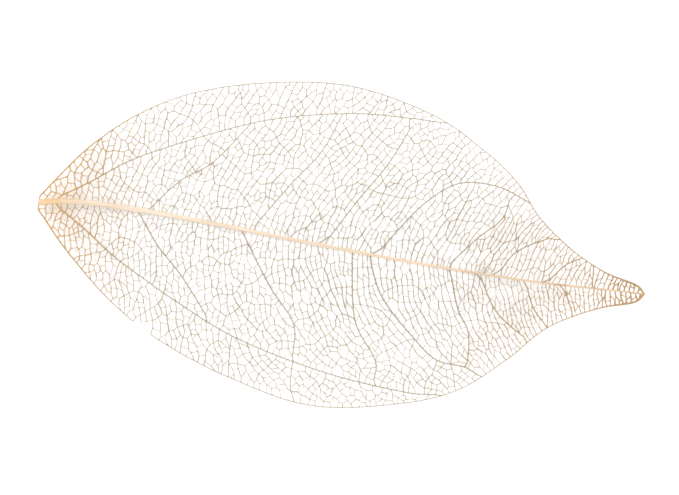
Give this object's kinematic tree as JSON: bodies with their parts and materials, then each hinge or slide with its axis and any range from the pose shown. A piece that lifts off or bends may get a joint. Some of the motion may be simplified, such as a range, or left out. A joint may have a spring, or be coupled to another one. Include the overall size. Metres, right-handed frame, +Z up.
{
  "type": "skeleton leaf",
  "caption": "Dried leaf with its soft tissue gone: an open net of veins in a pointed oval outline, with a midrib, arching side veins and lifted edges.",
  "frame": {"origin": "middle of the leaf's box in plan, on the surface that the leaf lies on", "axes": "+X from the cut base along the midrib to the tip, +Y towards the leaf's left half, +Z up from its underside"},
  "size_m": [0.09, 0.0474, 0.0056],
  "materials": {
    "dried_vein": "matte peach-cream plant fibre, more orange at the base, the midrib and the tip"
  },
  "bodies": {
    "root": {"leaf": "dried_vein"}
  },
  "joints": []
}
